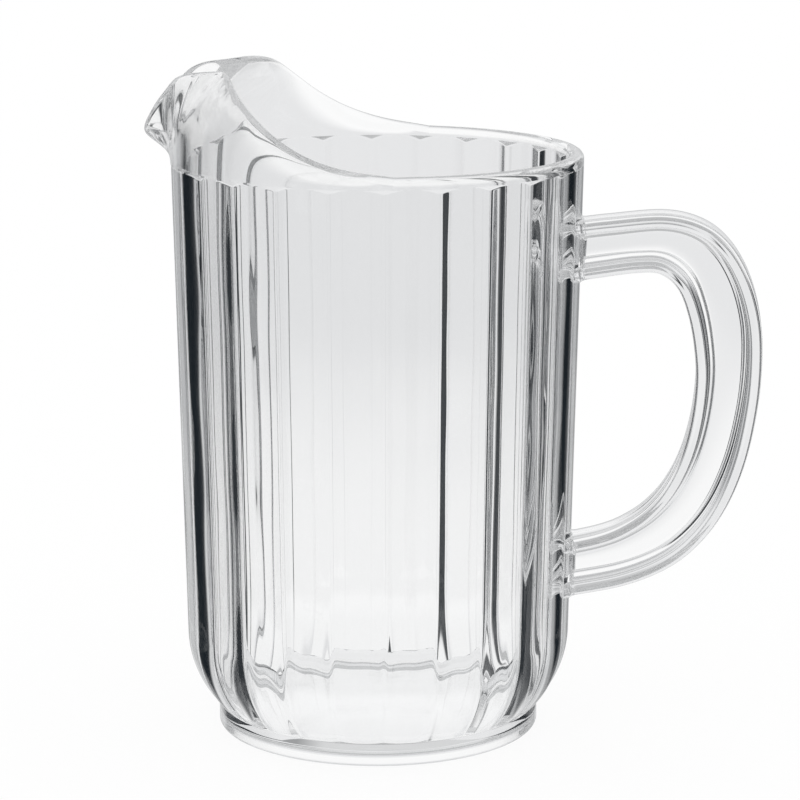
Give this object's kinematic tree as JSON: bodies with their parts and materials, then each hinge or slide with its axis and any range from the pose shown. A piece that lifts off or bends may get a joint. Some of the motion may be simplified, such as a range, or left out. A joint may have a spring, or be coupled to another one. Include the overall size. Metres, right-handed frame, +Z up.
{
  "type": "beer pitcher",
  "caption": "Clear moulded pitcher with a fluted wall, plain foot ring, hooded pouring lip with a small beak, and an I-section handle opposite the lip.",
  "frame": {"origin": "centre of the foot ring, on the plane that the pitcher stands on", "axes": "+Z up along the jug's axis, +X towards the handle, -X towards the spout"},
  "size_m": [0.1991, 0.1324, 0.2166],
  "materials": {
    "clear_plastic": "clear, polished"
  },
  "bodies": {
    "root": {"fluted_wall": "clear_plastic", "pour_collar": "clear_plastic", "rim_bead": "clear_plastic", "foot_ring": "clear_plastic", "floor_plate": "clear_plastic", "handle_outer_rail": "clear_plastic", "handle_inner_rail": "clear_plastic", "handle_web": "clear_plastic"}
  },
  "joints": []
}
